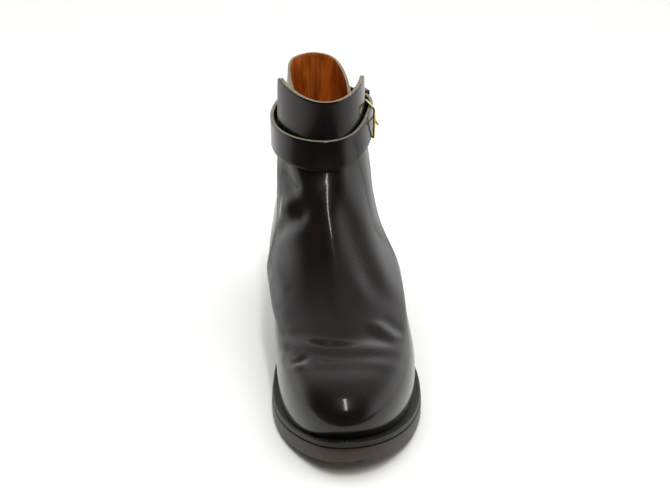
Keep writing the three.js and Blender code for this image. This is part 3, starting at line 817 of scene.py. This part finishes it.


# The rows of faces along both cut edges of the strap, which take the pale cut-edge colour, partly a
# painted highlight.
rawEdgeAndHighlightRows = [2, 3, 4, 5] + [len(strapProfile()) - 1 - k for k in (3, 4, 5, 6)]


def strapPiece():
    profile = strapProfile()
    columns, rows = strap["columns"], len(profile) - 1
    piece = addGrid("ankleStrap", columns, rows)
    u, v = readPlaces(piece)
    column = np.rint(u * columns)
    row = np.rint(v * rows).astype(int)
    inner = np.clip((column - 1) / (columns - 2), 0, 1)
    degrees = strap["start"] + (strapEnd - strap["start"]) * inner
    place = (degrees - strap["start"]) / strap["step"]
    tip = np.clip((strapEnd - degrees) / strap["tipSpan"], 0, 1)
    half = strap["width"] / 2 * np.sqrt(1 - (1 - tip) ** 2 * strap["tipNarrowing"])
    middle = strap["height"] + openSpline(strap["rise"], place)
    share, rest, off = np.array(profile, float).T[:, row]
    closed = np.where((column == 0) | (column == columns), 0.0, 1.0)
    off = off * closed + strap["thickness"] / 2 * (1 - closed)
    height = middle + (half * share + rest) * closed
    writePoints(piece, offSkin(degrees, height, openSpline(strap["off"], place) + off))
    for face in piece.data.polygons:
        rowOf = min(row[k] for k in face.vertices)
        face.material_index = 1 if rowOf in rawEdgeAndHighlightRows else 0
    mergeEdges(piece)
    smoothShade(piece, 55)
    return piece


# the strap's edges take the pale cut-edge colour, partly a painted highlight
finishPiece(strapPiece(), [calf, cutEdgeAndHighlight], ["ankle_strap"])
print("strap placed")


# stitches
threadSizes = {"weltStep": 3.2, "weltLength": 2.6, "weltWidth": 0.75, "seamStep": 2.4,
               "seamLength": 2.0, "seamWidth": 0.65, "fromEdge": 2.2,
               "weltPlace": 0.42, "weltEnd": 0.06, "weltSamples": 700, "seamSamples": 240}


# A row of stitches: one small ball repeated, then drawn out along the row at each place.
def stitchRow(name, places, normals, length, width, material, slotName):
    deselect()
    bpy.ops.mesh.primitive_uv_sphere_add(segments=8, ring_count=5, radius=1)
    piece = bpy.context.object
    piece.name = name
    piece.data.name = name
    single, apart = len(piece.data.vertices), 3
    row = piece.modifiers.new("row", "ARRAY")
    row.count = len(places)
    row.use_relative_offset = False
    row.use_constant_offset = True
    row.constant_offset_displace = (apart, 0, 0)
    applyModifiers(piece)
    flat = np.empty(len(piece.data.vertices) * 3, np.float32)
    piece.data.vertices.foreach_get("co", flat)
    ball = flat.reshape(len(places), single, 3).astype(float)
    ball[..., 0] -= apart * np.arange(len(places))[:, None]
    along = unit(np.gradient(places, axis=0))
    across = unit(np.cross(normals, along))
    points = (places[:, None] + ball[..., 2:] * length / 2 * along[:, None]
              + ball[..., :1] * width / 2 * across[:, None]
              + ball[..., 1:2] * width / 2 * normals[:, None])
    writePoints(piece, points.reshape(-1, 3))
    smoothShade(piece, 80)
    return finishPiece(piece, [material])


# Points spaced evenly along a line, with the normals of the same places.
def spaced(points, normals, step):
    far = np.concatenate([[0], np.cumsum(np.linalg.norm(np.diff(points, axis=0), axis=-1))])
    want = np.arange(step / 2, far[-1], step)
    return (np.stack([np.interp(want, far, points[:, k]) for k in range(3)], -1),
            unit(np.stack([np.interp(want, far, normals[:, k]) for k in range(3)], -1)))


def zoneLine(zone, place, levels, depth):
    angle = zone["angle"](place, levels)
    normals = skinNormal(angle, levels)
    return zonePoint(zone, place, levels, np.full(levels.shape, float(depth))), normals


def seamRow(name, zone, place, low, high, depth, material, slotName, sink=0.1):
    levels = np.linspace(low, high, threadSizes["seamSamples"])
    points, normals = zoneLine(zone, np.full(levels.shape, float(place)), levels, depth + sink)
    stitchRow(name, *spaced(points, normals, threadSizes["seamStep"]), threadSizes["seamLength"],
              threadSizes["seamWidth"], material, slotName)


def weltStitches():
    reach = breastAngle - threadSizes["weltEnd"]
    angle = np.linspace(-reach, reach, threadSizes["weltSamples"])
    foot, edge = footPoint(angle), inset(solePoint, angle, weltSizes["inset"])
    place = foot * threadSizes["weltPlace"] + edge * (1 - threadSizes["weltPlace"])
    place[:, 2] = underside(place[:, 1] - toeY) + last["outsole"] + last["clearance"] + last["welt"]
    normals = np.zeros_like(place)
    normals[:, 2] = 1
    stitchRow("weltStitches", *spaced(place, normals, threadSizes["weltStep"]),
              threadSizes["weltLength"], threadSizes["weltWidth"], blackThread, "welt_leather")


weltStitches()
edgeShare = threadSizes["fromEdge"] / collar["flapHalfGirth"]
for side, word in ((1, "Outer"), (-1, "Inner")):
    seamRow("panelStitches%s" % word, flap, side * (1 - edgeShare), 0.5, 9.4, 0, blackThread,
            "upper_leather")
    seamRow("stripStitches%s" % word, wings, 0.5 + side * stripReach * 0.62, 0.3, 9.6,
            skinDepth - last["clearance"] - stripSizes["thickness"], blackThread, "upper_leather")
    seamRow("liningStitches%s" % word, wings, 0.5 + side * stripReach * 0.55, 5.5, 9.7,
            skinDepth + last["quarter"] + liningSizes["backGap"] + last["lining"], brownThread,
            "lining_leather", -0.1)
print("stitches placed")


# Finishes of the solids that stay. Wires are rounded and straps get softened edges.
def dress(node, material, rounding=0, cuts=0):
    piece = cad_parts[node]
    piece.data.materials.clear()
    piece.data.materials.append(material)
    if rounding or cuts:
        weld = piece.modifiers.new("join", "WELD")
        weld.merge_threshold = 0.00001
    if rounding:
        bevel = piece.modifiers.new("edge", "BEVEL")
        bevel.width = rounding * mm
        bevel.segments = 2
        bevel.limit_method = "ANGLE"
        bevel.angle_limit = math.radians(50)
    if cuts:
        rounder = piece.modifiers.new("round", "SUBSURF")
        rounder.levels = cuts
        rounder.render_levels = cuts


dress("insole", liningCalf)
for node in ("buckle_strap", "strap_keeper"):
    dress(node, calf, rounding=0.2)
for node in ("buckle_frame", "buckle_prong"):
    dress(node, brass, cuts=2)
    smoothShade(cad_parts[node], 60)


# floor, light and camera
studio = {
    "floorSize": 6, "cameraPlace": (-0.0890, -1.2166, 0.6416), "lens": 100.3,
    "lookAt": (0.004, -0.118, 0.083), "darkWay": (-0.32, -0.82, 0.46), "dark": 0.02,
    "bright": 1.35, "darkFrom": 0.02, "darkTo": 0.5, "zenith": 0.22,
    "arc": {"x": 0.05, "away": 1.3, "from": 40, "to": 84, "lights": 4, "width": 0.08, "power": 1.3},
    "flag": {"size": (1.5, 1.3), "middle": (0, -0.98, 0.002)},
}


def areaLight(name, place, target, size, power, colour="#ffffff"):
    light = bpy.data.lights.new(name, "AREA")
    light.shape = "RECTANGLE"
    light.size, light.size_y = size
    light.energy = power
    light.color = toLinear(colour)[:3]
    lamp = bpy.data.objects.new(name, light)
    bpy.context.scene.collection.objects.link(lamp)
    lamp.location = place
    lamp.rotation_euler = (Vector(target) - Vector(place)).to_track_quat("-Z", "Y").to_euler()
    return lamp


deselect()
bpy.ops.mesh.primitive_plane_add(size=studio["floorSize"])
floor = bpy.context.object
floor.name = "floor"
floor.data.materials.append(newMaterial("pale paper floor", {
    "Base Color": toLinear("#f7f7f4"), "Roughness": 0.9})[0])

# A soft light from above that the polished leather doesn't mirror, and a narrow arc of lights that
# draws the bright line down the shin.
fill = areaLight("fill", (0, 0.1, 1.8), (0, -0.1, 0), (1.8, 1.8), 31)
fill.visible_glossy = False
arc = studio["arc"]
arcStep = (arc["to"] - arc["from"]) / arc["lights"]
for number in range(arc["lights"]):
    lift = math.radians(arc["from"] + arcStep * (number + 0.5))
    spot = (arc["x"], -0.12 - arc["away"] * math.cos(lift), 0.12 + arc["away"] * math.sin(lift))
    areaLight("arc %d" % (number + 1), spot, (arc["x"], -0.12, 0.12),
              (arc["width"], arc["away"] * math.radians(arcStep)), arc["power"])

# A black flag in front of the toe, out of the picture, keeps the front of the shaft dark.
deselect()
bpy.ops.mesh.primitive_plane_add(size=1)
flag = bpy.context.object
flag.name = "flag"
flag.scale = (*studio["flag"]["size"], 1)
flag.location = studio["flag"]["middle"]
bpy.ops.object.transform_apply(location=True, scale=True)
flag.data.materials.append(newMaterial("black flag", {
    "Base Color": toLinear("#050505"), "Roughness": 1.0})[0])
flag.visible_camera = False
flag.visible_diffuse = False
flag.visible_shadow = False


# White surroundings that turn dark towards the camera, which is what the polished leather mirrors.
def paleWorld():
    world = bpy.data.worlds.new("pale studio")
    bpy.context.scene.world = world
    world.use_nodes = True
    tree = world.node_tree
    way = addNode(tree, "ShaderNodeTexCoord").outputs["Generated"]
    facing = addNode(tree, "ShaderNodeVectorMath", {"operation": "DOT_PRODUCT"}, _0=way)
    facing.inputs[1].default_value = Vector(studio["darkWay"]).normalized()
    front = addNode(tree, "ShaderNodeMapRange", {
        "interpolation_type": "SMOOTHSTEP", "in:From Min": studio["darkFrom"],
        "in:From Max": studio["darkTo"], "in:To Min": studio["bright"],
        "in:To Max": studio["dark"]},
        Value=facing.outputs["Value"])
    parts = addNode(tree, "ShaderNodeSeparateXYZ", Vector=way)
    above = addNode(tree, "ShaderNodeMapRange", {
        "interpolation_type": "SMOOTHSTEP", "in:From Min": 0.3, "in:From Max": 0.9,
        "in:To Min": 1.0, "in:To Max": studio["zenith"]}, Value=parts.outputs["Z"])
    level = addNode(tree, "ShaderNodeMath", {"operation": "MULTIPLY"}, _0=front.outputs["Result"],
                    _1=above.outputs["Result"])
    # seen straight on, the surroundings are plain white
    seen = addNode(tree, "ShaderNodeLightPath").outputs["Is Camera Ray"]
    strength = addNode(tree, "ShaderNodeMath", {"operation": "MAXIMUM"}, _0=level.outputs["Value"],
                       _1=seen)
    background = tree.nodes["Background"]
    background.inputs["Color"].default_value = toLinear("#ffffff")
    tree.links.new(strength.outputs["Value"], background.inputs["Strength"])


paleWorld()
cameraData = bpy.data.cameras.new("photo camera")
cameraData.lens = studio["lens"]
cameraData.sensor_width = 36
camera = bpy.data.objects.new("photo camera", cameraData)
bpy.context.scene.collection.objects.link(camera)
camera.location = studio["cameraPlace"]
camera.rotation_euler = (Vector(studio["lookAt"]) - Vector(studio["cameraPlace"])).to_track_quat(
    "-Z", "Y").to_euler()
bpy.context.scene.camera = camera
bpy.context.scene.view_settings.view_transform = "Standard"
print("studio set")
